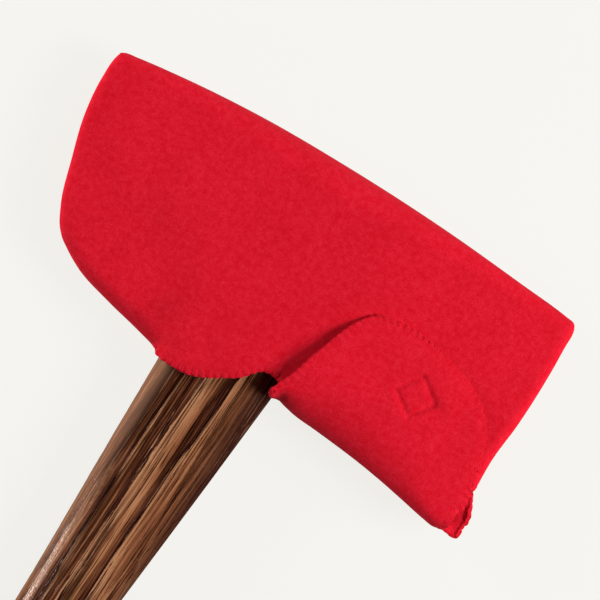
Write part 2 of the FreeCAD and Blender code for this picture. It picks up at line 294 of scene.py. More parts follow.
def tubes(name, paths, radius, material, sides=6):
    """Threads: one mesh of round tubes along lists of points, with closed ends."""
    points, faces = [], []
    angles = np.linspace(0, 2 * np.pi, sides, endpoint=False)
    for path in paths:
        path = np.asarray(path, float)
        tangent = unit(np.gradient(path, axis=0))
        side = np.cross(tangent[0], (0.31, 0.17, 0.93))
        first = len(points)
        for i, (centre, way) in enumerate(zip(path, tangent)):
            side = unit(side - way * (side @ way))
            up = np.cross(way, side)
            for angle in angles:
                points.append(centre + radius * (side * math.cos(angle) + up * math.sin(angle)))
            if i:
                low, high = first + (i - 1) * sides, first + i * sides
                for k in range(sides):
                    n = (k + 1) % sides
                    faces.append((low + k, low + n, high + n, high + k))
        faces.append(tuple(first + k for k in reversed(range(sides))))
        last = first + (len(path) - 1) * sides
        faces.append(tuple(last + k for k in range(sides)))
    return new_object(name, points, faces, material)


# ---------------------------------------------------------------- materials
def new_material(name):
    material = bpy.data.materials.new(name)
    material.use_nodes = True
    tree = material.node_tree
    return material, tree, tree.nodes["Principled BSDF"]


def set_inputs(node, values):
    for socket, value in values.items():
        node.inputs[socket].default_value = value


def add_noise(tree, vector, scale, detail=4.0, roughness=0.6):
    noise = tree.nodes.new("ShaderNodeTexNoise")
    set_inputs(noise, {"Scale": scale, "Detail": detail, "Roughness": roughness})
    tree.links.new(vector, noise.inputs["Vector"])
    return noise.outputs["Fac"]


def add_ramp(tree, factor, stops):
    ramp = tree.nodes.new("ShaderNodeValToRGB")
    elements = ramp.color_ramp.elements
    while len(elements) < len(stops):
        elements.new(0.5)
    for element, (position, colour) in zip(elements, stops):
        element.position = position
        element.color = (*colour, 1.0)
    tree.links.new(factor, ramp.inputs["Fac"])
    return ramp.outputs["Color"]


def add_mix(tree, factor, first, second, blend_type="MIX"):
    mix = tree.nodes.new("ShaderNodeMix")
    mix.data_type = "RGBA"
    mix.blend_type = blend_type
    for value, socket in ((factor, mix.inputs[0]), (first, mix.inputs[6]),
                          (second, mix.inputs[7])):
        if isinstance(value, bpy.types.NodeSocket):
            tree.links.new(value, socket)
        elif isinstance(value, tuple):
            socket.default_value = (*value, 1.0)
        else:
            socket.default_value = value
    return mix.outputs[2]


def add_math(tree, operation, *values):
    node = tree.nodes.new("ShaderNodeMath")
    node.operation = operation
    for value, socket in zip(values, node.inputs):
        if isinstance(value, bpy.types.NodeSocket):
            tree.links.new(value, socket)
        else:
            socket.default_value = value
    return node.outputs[0]


def add_range(tree, value, start, end, low=0.0, high=1.0, interpolation="LINEAR"):
    """Low before start, high after end, and a ramp between them."""
    node = tree.nodes.new("ShaderNodeMapRange")
    node.interpolation_type = interpolation
    set_inputs(node, {"From Min": start, "From Max": end, "To Min": low, "To Max": high})
    tree.links.new(value, node.inputs["Value"])
    return node.outputs[0]


def add_bump(tree, height, strength, distance, after=None):
    bump = tree.nodes.new("ShaderNodeBump")
    set_inputs(bump, {"Strength": strength, "Distance": distance})
    tree.links.new(height, bump.inputs["Height"])
    if after is not None:
        tree.links.new(after, bump.inputs["Normal"])
    return bump.outputs["Normal"]


def object_coordinates(tree, scale=(1, 1, 1)):
    where = tree.nodes.new("ShaderNodeTexCoord")
    mapping = tree.nodes.new("ShaderNodeMapping")
    mapping.inputs["Scale"].default_value = scale
    tree.links.new(where.outputs["Object"], mapping.inputs["Vector"])
    return mapping.outputs["Vector"]


RED_SHEEN = (1.0, 0.12, 0.16, 1.0)


def felt_material():
    """Thick milled wool: a matt red nap, mottled where its fibres clump."""
    material, tree, shader = new_material("red_felt")
    here = object_coordinates(tree)
    cloud = add_noise(tree, here, 45.0, 3.0, 0.5)
    clumps = add_noise(tree, here, 330.0, 3.0, 0.55)
    fibres = add_noise(tree, here, 1300.0, 3.0, 0.7)
    broad = add_ramp(tree, cloud, [(0.3, (0.605, 0.0075, 0.0205)),
                                           (0.7, (0.645, 0.0085, 0.0235))])
    clumped = add_ramp(tree, clumps, [(0.30, (0.93, 0.60, 0.70)),
                                              (0.70, (1.03, 1.40, 1.28))])
    speckle = add_ramp(tree, fibres, [(0.30, (0.90, 0.40, 0.52)),
                                              (0.70, (1.06, 1.75, 1.50))])
    colour = add_mix(tree, 1.0, broad, clumped, "MULTIPLY")
    tree.links.new(add_mix(tree, 1.0, colour, speckle, "MULTIPLY"),
              shader.inputs["Base Color"])
    soft = add_bump(tree, clumps, 0.25, 0.0009)
    tree.links.new(add_bump(tree, fibres, 0.3, 0.0004, soft), shader.inputs["Normal"])
    set_inputs(shader, {"Roughness": 0.95, "Specular IOR Level": 0.05, "Sheen Weight": 0.12,
                        "Sheen Roughness": 0.5, "Sheen Tint": RED_SHEEN})
    return material


def thread_material():
    """Polyester overlock thread in the felt's own red, with its twist."""
    material, tree, shader = new_material("red_thread")
    here = object_coordinates(tree)
    twist = tree.nodes.new("ShaderNodeTexWave")
    twist.bands_direction = "DIAGONAL"
    set_inputs(twist, {"Scale": 900.0, "Distortion": 1.5})
    tree.links.new(here, twist.inputs["Vector"])
    colour = add_ramp(tree, twist.outputs["Fac"], [(0.2, (0.57, 0.0075, 0.020)),
                                                           (0.8, (0.68, 0.0095, 0.026))])
    tree.links.new(colour, shader.inputs["Base Color"])
    tree.links.new(add_bump(tree, twist.outputs["Fac"], 0.5, 0.0002),
              shader.inputs["Normal"])
    set_inputs(shader, {"Roughness": 0.8, "Specular IOR Level": 0.2, "Sheen Weight": 0.12,
                        "Sheen Tint": RED_SHEEN})
    return material


RING_WIDTH, RING_START = 0.0075, -0.1
PITH = (-0.06, -0.06)                    # X and Z of the tree's middle, beside the handle
PAINTED_SHADE_SIDE = (0.016, 0.025)           # X where the painted shade of the handle's right side sets in
PAINTED_LIGHT_SIDE = (-0.018, -0.028)           # X where the painted light of the handle's left side sets in


def wandering_fibres(tree):
    """Coordinates in the wood that wander a little sideways along the handle."""
    wander = tree.nodes.new("ShaderNodeTexNoise")
    set_inputs(wander, {"Scale": 1.0, "Detail": 2.0})
    tree.links.new(object_coordinates(tree, (22.0, 5.0, 22.0)), wander.inputs["Vector"])
    shifted = tree.nodes.new("ShaderNodeVectorMath")
    shifted.operation = "MULTIPLY_ADD"
    tree.links.new(wander.outputs["Color"], shifted.inputs[0])
    shifted.inputs[1].default_value = (0.005, 0.0, 0.005)
    tree.links.new(object_coordinates(tree), shifted.inputs[2])
    return shifted.outputs[0]


def add_streaks(tree, fibres, across, lengthwise, detail, roughness):
    """Noise drawn out along the fibres."""
    mapping = tree.nodes.new("ShaderNodeMapping")
    mapping.inputs["Scale"].default_value = (across, lengthwise, across)
    tree.links.new(fibres, mapping.inputs["Vector"])
    return add_noise(tree, mapping.outputs["Vector"], 1.0, detail, roughness)


def growth_rings(tree, fibres):
    """Each ring turns slowly from tan to scorched brown and ends in a dark, frayed line."""
    from_pith = tree.nodes.new("ShaderNodeMapping")
    set_inputs(from_pith, {"Location": (-PITH[0], 0.0, -PITH[1]), "Scale": (1.0, 0.0, 1.0)})
    tree.links.new(fibres, from_pith.inputs["Vector"])
    radius = tree.nodes.new("ShaderNodeVectorMath")
    radius.operation = "LENGTH"
    tree.links.new(from_pith.outputs["Vector"], radius.inputs[0])
    broad = add_streaks(tree, fibres, 55.0, 2.2, 2.0, 0.5)
    uneven = add_math(tree, "MULTIPLY_ADD", broad, 2.4, RING_START)
    fine = add_streaks(tree, fibres, 620.0, 9.0, 4.0, 0.65)
    frayed = add_math(tree, "MULTIPLY_ADD", fine, 1.5, uneven)
    rings = add_math(tree, "MULTIPLY_ADD", radius.outputs["Value"], 1 / RING_WIDTH, frayed)
    return add_ramp(tree, add_math(tree, "FRACT", rings),
                    [(0.0, (0.47, 0.228, 0.115)), (0.25, (0.38, 0.160, 0.072)),
                     (0.5, (0.25, 0.088, 0.038)), (0.75, (0.125, 0.038, 0.018)),
                     (0.92, (0.050, 0.014, 0.009)), (1.0, (0.028, 0.008, 0.006))])


def scorched_wood_material():
    """Hardwood whose open grain was scorched dark and then oiled."""
    material, tree, shader = new_material("scorched_handle_wood")
    fibres = wandering_fibres(tree)
    tone = growth_rings(tree, fibres)
    bands = add_ramp(tree, add_streaks(tree, fibres, 230.0, 6.0, 5.0, 0.66),
                     [(0.41, (0.20, 0.15, 0.13)), (0.50, (1.0, 1.0, 1.0))])
    lines = add_ramp(tree, add_streaks(tree, fibres, 950.0, 9.0, 4.0, 0.65),
                     [(0.41, (0.12, 0.08, 0.07)), (0.46, (0.84, 0.81, 0.79)),
                      (0.60, (1.18, 1.19, 1.20))])
    pores = add_streaks(tree, fibres, 2200.0, 60.0, 2.0, 0.5)
    dashes = add_ramp(tree, pores, [(0.38, (0.50, 0.42, 0.38)), (0.46, (1.0, 1.0, 1.0))])
    colour = add_mix(tree, 0.95, tone, bands, "MULTIPLY")
    colour = add_mix(tree, 0.92, colour, lines, "MULTIPLY")
    colour = add_mix(tree, 0.7, colour, dashes, "MULTIPLY")
    split = tree.nodes.new("ShaderNodeSeparateXYZ")
    tree.links.new(object_coordinates(tree), split.inputs[0])
    x = split.outputs["X"]
    # The handle's right side is painted darker: painted shade, not scorching.
    painted_shade = add_range(tree, x, *PAINTED_SHADE_SIDE, high=0.75, interpolation="SMOOTHSTEP")
    # The handle's left side is painted lighter: painted light, not wear.
    painted_light = add_range(tree, x, *PAINTED_LIGHT_SIDE, high=0.6, interpolation="SMOOTHSTEP")
    colour = add_mix(tree, painted_shade, colour, (0.030, 0.009, 0.006))
    tree.links.new(add_mix(tree, painted_light, colour, (0.340, 0.165, 0.095)),
              shader.inputs["Base Color"])
    tree.links.new(add_range(tree, pores, 0.35, 0.65, 0.16, 0.32), shader.inputs["Roughness"])
    ripple = add_bump(tree, bands, 0.3, 0.0005)
    chatter = add_streaks(tree, fibres, 350.0, 1100.0, 2.0, 0.5)
    ripple = add_bump(tree, chatter, 0.6, 0.0003, ripple)
    tree.links.new(add_bump(tree, pores, 0.35, 0.0002, ripple), shader.inputs["Normal"])
    shader.inputs["Specular IOR Level"].default_value = 0.2
    return material


def sawn_wood_material():
    """Pale hardwood of the wedge, sawn across its grain."""
    material, tree, shader = new_material("wedge_wood")
    grain = add_noise(tree, object_coordinates(tree, (700.0, 60.0, 700.0)),
                      1.0, 4.0)
    colour = add_ramp(tree, grain, [(0.35, (0.22, 0.12, 0.055)),
                                            (0.65, (0.46, 0.29, 0.15))])
    tree.links.new(colour, shader.inputs["Base Color"])
    tree.links.new(add_bump(tree, grain, 0.4, 0.0003), shader.inputs["Normal"])
    shader.inputs["Roughness"].default_value = 0.7
    return material


GROUND_FROM = (0.093, 0.098)             # distance from the eye where the ground steel sets in


def axe_steel_material():
    """Forging scale over the cheeks, and ground bright steel towards both edges."""
    material, tree, shader = new_material("axe_steel")
    here = object_coordinates(tree)
    split = tree.nodes.new("ShaderNodeSeparateXYZ")
    tree.links.new(here, split.inputs[0])
    reach = add_math(tree, "ABSOLUTE", split.outputs["X"])
    scale_noise = add_noise(tree, here, 90.0, 5.0, 0.65)
    pitted = add_noise(tree, here, 700.0, 4.0, 0.6)
    ragged = add_math(tree, "MULTIPLY_ADD", scale_noise, 0.014, reach)
    ground = add_range(tree, ragged, *GROUND_FROM)
    lines = add_noise(tree, object_coordinates(tree, (60.0, 4000.0, 60.0)),
                      1.0, 3.0)
    dark = add_ramp(tree, scale_noise, [(0.35, (0.035, 0.036, 0.040)),
                                                (0.65, (0.095, 0.092, 0.090))])
    bright = add_ramp(tree, lines, [(0.3, (0.42, 0.42, 0.43)), (0.7, (0.62, 0.62, 0.62))])
    tree.links.new(add_mix(tree, ground, dark, bright), shader.inputs["Base Color"])
    tree.links.new(add_range(tree, ground, 0.0, 1.0, 0.58, 0.27), shader.inputs["Roughness"])
    hammered = add_bump(tree, scale_noise, 0.25, 0.0012)
    tree.links.new(add_bump(tree, pitted, 0.2, 0.0003, hammered), shader.inputs["Normal"])
    shader.inputs["Metallic"].default_value = 0.55
    return material


def tape_material(name, low, high):
    """Woven nylon of the fastening's two halves."""
    material, tree, shader = new_material(name)
    weave = tree.nodes.new("ShaderNodeTexVoronoi")
    weave.inputs["Scale"].default_value = 1100.0
    tree.links.new(object_coordinates(tree), weave.inputs["Vector"])
    colour = add_ramp(tree, weave.outputs["Distance"], [(0.1, low), (0.6, high)])
    tree.links.new(colour, shader.inputs["Base Color"])
    tree.links.new(add_bump(tree, weave.outputs["Distance"], 0.6, 0.0003),
              shader.inputs["Normal"])
    shader.inputs["Roughness"].default_value = 0.55
    return material


def floor_material():
    """A pale studio sweep that is itself lit from below, so shadows on it stay light."""
    material, _, shader = new_material("studio_floor")
    set_inputs(shader, {"Base Color": (0.07, 0.07, 0.07, 1.0), "Roughness": 1.0,
                        "Specular IOR Level": 0.0, "Emission Color": (1.0, 0.99, 0.95, 1.0),
                        "Emission Strength": 0.84})
    return material


FELT_RED = felt_material()
THREAD_RED = thread_material()
HOOK_TAPE = tape_material("hook_tape", (0.20, 0.006, 0.014), (0.42, 0.012, 0.028))
LOOP_TAPE = tape_material("loop_tape", (0.28, 0.008, 0.020), (0.52, 0.016, 0.036))


# ---------------------------------------------------------------- outline of the pocket
HEEL_CORNER = (-112.2, -86.6)
TOP_LEFT_CORNER = (-139.0, 12.4)
TOP_RIGHT_CORNER = (146.5, 25.0)
MOUTH_LEFT = (-37.0, -109.9)
SEAM_END = (150.9, -79.0)      # the right-hand seam is open below this

LEFT_SIDE = [HEEL_CORNER, (-113.8, -85.0), (-120.7, -74.0), (-129.6, -50.0), (-137.0, -26.0),
             (-140.1, -4.0), (-140.0, 8.0), TOP_LEFT_CORNER]
TOP_SIDE = [TOP_LEFT_CORNER, (-136.5, 13.7), (-130.0, 15.1), (-105.0, 19.5), (-60.0, 25.2),
            (0.0, 28.7), (60.0, 29.4), (110.0, 27.8), (141.5, 26.3), (144.9, 25.9),
            TOP_RIGHT_CORNER]
RIGHT_SIDE = [SEAM_END, (149.6, -60.0), (150.7, -38.0), (149.9, -2.0), (148.7, 14.0),
              (148.4, 20.0), (147.6, 23.0), TOP_RIGHT_CORNER]
HEEL_SIDE = [HEEL_CORNER, (-110.6, -88.1), (-104.7, -91.9), (-93.8, -97.4), (-70.4, -103.4),
             (-50.0, -107.2), MOUTH_LEFT]
MOUTH_SIDE = [MOUTH_LEFT, (-33.0, -111.2), (-24.0, -111.6), (-14.0, -110.8), (-5.0, -107.2),
              (3.0, -102.2), (12.0, -95.8), (16.0, -90.6), (20.0, -87.0), (25.0, -86.2),
              (30.0, -87.2), (35.0, -88.0)]
UNDER_FLAP_SIDE = [(35.0, -88.0), (60.0, -84.5), (110.0, -82.0), SEAM_END]
BACK_MOUTH_SIDE = [MOUTH_LEFT, (-33.0, -111.0), (-24.0, -111.2), (-12.0, -109.0),
                   (6.0, -100.0), (18.0, -93.0)]
# Below the end of the seam the back panel flares out, and its edge turns up.
FLARE_SIDE = [(157.5, -98.5), (157.1, -93.5), (154.2, -87.7), (151.6, -82.5), SEAM_END]

ROWS = 120
HEEL_COLUMNS, MOUTH_COLUMNS, FOLD_COLUMNS = 96, 112, 150
COLUMNS = HEEL_COLUMNS + MOUTH_COLUMNS + FOLD_COLUMNS


def split_shares(counts):
    """Crowded shares for a side that is made of several stretches, one list for each."""
    shares = crowded(sum(counts))
    lists, first = [], 0
    for count in counts:
        own = shares[first:first + count + 1]
        lists.append((own - own[0]) / (own[-1] - own[0]))
        first += count
    return lists


def joined(*lines):
    """Several lines end to end, each joint kept once."""
    return np.concatenate([lines[0]] + [line[1:] for line in lines[1:]])


SEAM_LINE = joined(along(list(reversed(HEEL_SIDE)), np.linspace(0, 1, 60)),
                   along(LEFT_SIDE, np.linspace(0, 1, 70)),
                   along(TOP_SIDE, np.linspace(0, 1, 130)),
                   along(list(reversed(RIGHT_SIDE)), np.linspace(0, 1, 60)))

# ---------------------------------------------------------------- heights of the felt
# Height of the outer face over the middle plane, from the left bit to the right one.
RIDGE_NEAR_TOP = [(-142, 7.4), (-120, 8.6), (-95, 10.8), (-70, 13.8), (-45, 17.0),
                  (-20, 18.9), (12, 18.9), (35, 17.2), (60, 14.8), (90, 11.4), (120, 8.9),
                  (160, 7.2)]
RIDGE_NEAR_MOUTH = [(-142, 7.0), (-120, 8.8), (-98, 9.8), (-80, 10.3), (-66, 10.9),
                    (-56, 12.6), (-47, 15.6), (-38, 17.8), (-22, 18.9), (10, 18.8),
                    (34, 16.6), (60, 14.6), (90, 11.4), (120, 8.9), (160, 7.2)]
RIDGE_BACK = [(-142, 7.4), (-120, 8.6), (-95, 10.8), (-70, 13.8), (-45, 17.2), (-25, 19.0),
              (25, 19.0), (45, 17.0), (70, 13.8), (95, 10.8), (120, 8.8), (140, 8.6), (160, 9.6)]


def unsewn_height(x, y):
    """The front panel's outer face, before its rim turns down to the seam."""
    low = smooth_step(-28.0, -78.0, y)
    return (1 - low) * by_x(RIDGE_NEAR_TOP, x) + low * by_x(RIDGE_NEAR_MOUTH, x)


def dent(x, y, at, depth, size_x, size_y, turn=0.0):
    """The depth of a soft hollow at each place."""
    across, up = turned(x - at[0], y - at[1], turn)
    return depth * np.exp(-(across / size_x) ** 2 - (up / size_y) ** 2)


def rim_rounding(base, away):
    """How the felt turns down to the seam, from its distance to the rim."""
    radius = np.maximum(base * RIM_SHARE, LEAST_RIM)
    share = np.clip(away / radius, 0, 1)
    return SEAM_HALF_GAP + (base - SEAM_HALF_GAP) * np.sqrt(1 - (1 - share) ** 2)


# Soft hollows of the front panel: the middle, the depth, the half widths and the turn.
FRONT_HOLLOWS = [((20.0, -60.0), 1.6, 12.0, 26.0, 14.0),
                 ((-82.0, -52.0), 1.3, 22.0, 26.0, 0.0),
                 ((-41.0, -104.0), 6.5, 10.0, 20.0, -12.0)]


def front_height(x, y):
    base = unsewn_height(x, y)
    for hollow in FRONT_HOLLOWS:
        base = base - dent(x, y, *hollow)
    away = distance_to(SEAM_LINE, x, y)
    return rim_rounding(base, away)


def back_height(x, y):
    """The back panel's outer face: flattened where the axe lies on it."""
    away = distance_to(SEAM_LINE, x, y)
    sewn = rim_rounding(by_x(RIDGE_BACK, x), away)
    return -np.minimum(sewn, -LOWEST_FELT)


# ---------------------------------------------------------------- the two pocket panels
def panel_plan(mouth, last_stretch, right):
    """Places of a pocket panel, seen from above, as a grid from the mouth to the top."""
    heel_shares, mouth_shares, last_shares = split_shares(
        (HEEL_COLUMNS, MOUTH_COLUMNS, FOLD_COLUMNS))
    bottom = joined(along(HEEL_SIDE, heel_shares), along(mouth, mouth_shares),
                    last_stretch(last_shares))
    left = along(LEFT_SIDE, crowded(ROWS))
    top = along(TOP_SIDE, crowded(COLUMNS))
    side = along(right, crowded(ROWS))
    return coons(bottom, top, left, side)


SEWN_SWELL, FREE_SWELL = 0.15, 0.9


def edge_swell(last):
    """How far each edge point of a panel stands out: more along its mouth, up to last."""
    swell = np.full((ROWS + 1, COLUMNS + 1), SEWN_SWELL)
    swell[0, HEEL_COLUMNS + 2:last + 1] = FREE_SWELL
    return swell


def front_panel():
    plan = panel_plan(MOUTH_SIDE, lambda shares: along(UNDER_FLAP_SIDE, shares), RIGHT_SIDE)
    x, y = plan[..., 0], plan[..., 1]
    mouth = plan[0, HEEL_COLUMNS:]
    height = front_height(x, y)
    smooth = scalloped(np.dstack([x, y, height]), mouth, 1.0)
    inner = smooth - grid_normals(smooth) * FELT
    outer = smooth - np.dstack([0 * x, 0 * x, edge_pinch(mouth, x, y)])
    swell = edge_swell(COLUMNS)
    return thick_sheet("felt_front_panel", outer, FELT_RED, swell=swell, inner=inner), outer


# ---------------------------------------------------------------- fold and flap
# The lowest line of the rounded fold, and how far the fold reaches up from it.
FOLD_BOTTOM = [(29.0, -98.6), (31.0, -98.6), (34.0, -97.0), (40.0, -97.8), (47.0, -98.9),
               (60.0, -99.4), (75.0, -100.1), (90.0, -101.1), (105.0, -102.7),
               (120.0, -104.8), (135.0, -107.0), (142.0, -107.6), (147.0, -106.6),
               (152.0, -108.4), (157.0, -110.0), (161.0, -110.4)]
FOLD_REACH = [(29.0, 6.0), (40.0, 13.0), (52.0, 22.0), (68.0, 27.0), (85.0, 27.0),
              (105.0, 24.5), (125.0, 20.0), (147.0, 13.0), (160.0, 9.5)]
FLAP_LEFT = [(32.0, -87.0), (34.9, -80.0), (37.2, -70.0), (40.9, -58.3), (45.0, -45.6),
             (50.6, -35.1), (56.0, -29.8)]
FLAP_TOP = [(56.0, -29.8), (64.4, -26.7), (77.0, -25.9), (92.0, -27.0), (105.5, -29.7),
            (117.9, -34.3), (127.0, -39.7), (133.0, -45.2)]
FLAP_RIGHT = [(149.2, -90.0), (147.6, -82.0), (144.6, -70.0), (141.5, -59.5), (138.0, -51.2),
              (133.0, -45.2)]
FLAP_ROWS, TURN_ROWS = 92, 48
BOX_CENTRE = (95.1, -54.5)
BOX_TURN = 56.7
BOX_HALF = 8.0
FLAP_GAP = 0.4                 # between the flap and the panel that it lies on
PADS = 2.9                     # thickness of the closed fastening
QUILT_DEPTH, QUILT_WIDTH = 1.3, 1.6      # of the groove that the box stitch pulls in
FOLD_LIFT, FOLD_LIFT_REACH = 4.2, 22.0   # how the flap stands off the panel at the fold
EDGE_LIFT, EDGE_LIFT_REACH = 2.6, 13.0   # and at its left-hand edge
FLARE_LIFT, FLARE_REACH = 6.5, 26.0      # how the flared corner of the back panel rises
CURL_LIFT, CURL_REACH = 3.0, 4.5         # and curls at its very edge
TIP_HOLLOW = ((31.0, -92.0), 4.0, 12.0, 13.0)      # the flap's left-hand tip dips
PUCKER = ((107.0, -54.5), 1.3, 6.5, 5.0)           # beside the box stitch
PADS_SPREAD = (33.0, 12.0)     # distances from the square where the pads' lift begins, and is full
HALF_FOLD_EDGE = 14.0          # about the length of the cut edge, from the fold's lowest line to the flap
FOLD_CROWDING, FLAP_CROWDING = 0.6, 0.3
PAD_HALF, PAD_CELLS = 10.0, 24
PILE_RADIUS = 0.09
LOOP_THICK, HOOK_THICK = 1.5, 1.15


def fold_top_y(x):
    return by_x(FOLD_BOTTOM, x) + by_x(FOLD_REACH, x)


def box_distance(x, y):
    """Distance from the square line of the box stitch."""
    across, up = np.abs(turned(x - BOX_CENTRE[0], y - BOX_CENTRE[1], BOX_TURN))
    further = np.maximum(across, up)
    outside = np.hypot(np.maximum(across - BOX_HALF, 0), np.maximum(up - BOX_HALF, 0))
    return np.where(further > BOX_HALF, outside, BOX_HALF - further)


def flap_height(x, y, quilted=True):
    """The flap's outer face: over the pads and the panel, lifted towards the fold."""
    up = np.maximum(y - fold_top_y(x), 0)
    left_edge = by_x([(y_at, x_at) for x_at, y_at in FLAP_LEFT], y)
    lift = FOLD_LIFT * np.exp(-(up / FOLD_LIFT_REACH) ** 2)
    lift = lift * (0.45 + 0.55 * smooth_step(140.0, 50.0, x))
    at_edge = EDGE_LIFT * np.exp(-((x - left_edge) / EDGE_LIFT_REACH) ** 2)
    lift = lift + at_edge * smooth_step(-32.0, -52.0, y)
    from_pads = np.hypot(x - BOX_CENTRE[0], y - BOX_CENTRE[1])
    over_pads = PADS * smooth_step(*PADS_SPREAD, from_pads)
    height = unsewn_height(x, y) + FELT + FLAP_GAP + np.hypot(lift, over_pads)
    height = height - dent(x, y, *TIP_HOLLOW)
    if quilted:
        height = height - QUILT_DEPTH * np.exp(-(box_distance(x, y) / QUILT_WIDTH) ** 2)
        height = height - dent(x, y, *PUCKER)
    return height


def flap_inner_height(x, y):
    return flap_height(x, y, quilted=False) - FELT


FLARE_CREST = along([SEAM_END, (152.0, -82.5), (154.6, -87.5), (157.8, -93.5), (159.0, -98.5),
                     (158.6, -103.0), (156.8, -107.4)], np.linspace(0, 1, 60))


def flare_lift(x, y, turn=-90.0):
    """How far the back felt's edge turns up beyond the end of the seam."""
    away = distance_to(FLARE_CREST, x, y)
    raised = FLARE_LIFT * np.clip(1 - (away / FLARE_REACH) ** 2, 0, 1)
    raised = raised + CURL_LIFT * np.clip(1 - away / CURL_REACH, 0, 1) ** 2
    return raised * smooth_step(-80.0, -92.0, y) * smooth_step(25.0, -35.0, turn)


def fold_section(x, turn):
    """A place on the rounded fold: turn runs from -90 at the back to 90 at the front."""
    reach = by_x(FOLD_REACH, x)
    y_top = fold_top_y(x)
    front, back = flap_height(x, y_top), back_height(x, y_top)
    angle = np.radians(turn)
    roundness = 1 - 0.62 * smooth_step(105.0, 138.0, x)      # squarer towards the right
    y = y_top - reach * np.maximum(np.cos(angle), 0) ** roundness
    z = (front + back) / 2 + (front - back) / 2 * np.sin(angle)
    return y, z


def fold_ends(turn):
    """The x of the overlocked left and right ends of the fold."""
    left = by_x([(-90, 34.8), (-40, 35.0), (-10, 34.9), (10, 33.9), (30, 31.2), (50, 30.0),
                 (90, 29.8)], turn)
    right = by_x([(-90, 157.4), (-75, 156.5), (-60, 154.9), (-45, 152.0), (-30, 149.2),
                  (-12, 147.0), (10, 146.4), (50, 146.8), (90, 147.6)], turn)
    return left, right


def fold_grid():
    shares = crowded(FOLD_COLUMNS, FOLD_CROWDING)
    rows = []
    for turn in np.linspace(-90, 90, TURN_ROWS + 1):
        left, right = fold_ends(turn)
        ripple = scallop(turn / 90.0 * HALF_FOLD_EDGE)
        left = left - 0.5 * SCALLOP * ripple
        right = right + SCALLOP * ripple * smooth_step(0.0, -60.0, turn)
        x = left + (right - left) * shares
        y, z = fold_section(x, turn)
        z = z + flare_lift(x, y, turn)
        rows.append(np.stack([x, y, z], axis=1))
    return np.array(rows)


def flap_plan(bottom):
    left = along([tuple(bottom[0])] + FLAP_LEFT, crowded(FLAP_ROWS, FLAP_CROWDING))
    top = along(FLAP_TOP, crowded(FOLD_COLUMNS, FOLD_CROWDING))
    right = along([tuple(bottom[-1])] + FLAP_RIGHT, crowded(FLAP_ROWS, FLAP_CROWDING))
    plan = coons(bottom, top, left, right)
    free_edge = joined(left, top, right[::-1])
    return plan, free_edge


def closing_flap():
    fold = fold_grid()
    plan, free_edge = flap_plan(fold[-1, :, :2])
    x, y = plan[..., 0], plan[..., 1]
    faces = []
    for quilted in (True, False):
        pinch = edge_pinch(free_edge, x, y) if quilted else 0.0
        upper = np.dstack([x, y, flap_height(x, y, quilted) - pinch])
        upper = scalloped(upper, free_edge, -1.0)
        faces.append(np.concatenate([fold, upper[1:]]))
    outer, smooth = faces
    inner = smooth - grid_normals(smooth) * FELT
    rows, columns = outer.shape[:2]
    swell = np.full((rows, columns), 0.8)
    swell[0, 1:-1] = 0.0
    piece = thick_sheet("felt_closing_flap", outer, FELT_RED, swell=swell, inner=inner)
    butt_together(piece, rows, columns, 0, columns - 1)
    return piece, outer, inner


def back_panel(fold_start, fold_inner_start):
    """The back panel goes on past the mouth, to where both faces of the fold begin."""
    mouth = BACK_MOUTH_SIDE + [tuple(fold_start[0, :2])]
    right = [tuple(fold_start[-1, :2])] + FLARE_SIDE[1:] + RIGHT_SIDE[1:]
    plan = panel_plan(mouth, lambda shares: fold_start[:, :2], right)
    x, y = plan[..., 0], plan[..., 1]
    grid = np.dstack([x, y, back_height(x, y) + flare_lift(x, y)])
    fold_from = HEEL_COLUMNS + MOUTH_COLUMNS
    flared = grid[:, -1, 1] < SEAM_END[1]
    grid = scalloped(grid, grid[0, HEEL_COLUMNS:fold_from], 1.0)
    grid = scalloped(grid, grid[flared, -1], 1.0)
    swell = edge_swell(fold_from)
    swell[0, fold_from + 1:-1] = 0.0
    swell[flared, -1] = FREE_SWELL
    inner = grid + grid_normals(grid) * FELT
    inner[0, fold_from:] = fold_inner_start
    piece = thick_sheet("felt_back_panel", grid, FELT_RED, side=-1.0, swell=swell, inner=inner)
    butt_together(piece, ROWS + 1, COLUMNS + 1, fold_from, COLUMNS)
    return piece, grid


# ---------------------------------------------------------------- overlock stitches
# One overlock stitch, from the upper face round the edge to the lower face: how far out
# from the edge, how far up from the felt's middle, and how far along the edge.
OVERLOCK_LOOP = [(-2.7, 0.5, 0.9), (-2.4, 1.15, 0.8), (-1.2, 1.10, 0.3), (0.0, 0.95, 0.0),
                 (0.72, 0.55, 0.0), (0.88, 0.0, 0.0), (0.72, -0.65, 0.0),
                 (0.0, -1.20, 0.0), (-1.2, -1.60, -0.3), (-2.4, -1.70, -0.8),
                 (-2.7, -1.0, -0.9)]


def overlock(edge, normal, outward):
    """Paths of thread loops sunk in a felt edge, and of the purl that links them along it."""
    run = runs_along(edge)

    def read(values, at):
        at = np.clip(at, 0.0, run[-1])
        return np.array([np.interp(at, run, values[:, k]) for k in range(3)])

    paths, purl = [], []
    for stitch in np.arange(STITCH_PITCH / 2, run[-1] - 0.5, STITCH_PITCH):
        centre, up, out = read(edge, stitch), read(normal, stitch), read(outward, stitch)
        forward = np.cross(up, out)
        paths.append([centre + out * o + up * u + forward * f for o, u, f in OVERLOCK_LOOP])
        for share, o, u in ((0.0, 0.80, 0.45), (0.5, 1.02, 0.1)):
            at = stitch + share * STITCH_PITCH
            purl.append(read(edge, at) + read(outward, at) * o + read(normal, at) * u)
    fine = np.linspace(0, len(purl) - 1, 4 * len(purl))
    paths.append(hermite(np.arange(len(purl)), np.array(purl), fine))
    return paths


def edge_frame(grid, cells, side=1.0):
    """Middle of the felt's edge, its normal and the way outward, along grid cells."""
    normal = grid_normals(grid) * side
    line = np.array([grid[r, c] for r, c in cells])
    up = np.array([normal[r, c] for r, c in cells])
    out = unit(np.cross(unit(np.gradient(line, axis=0)), up) * side)
    return line - up * (FELT - PINCH) / 2, up, out


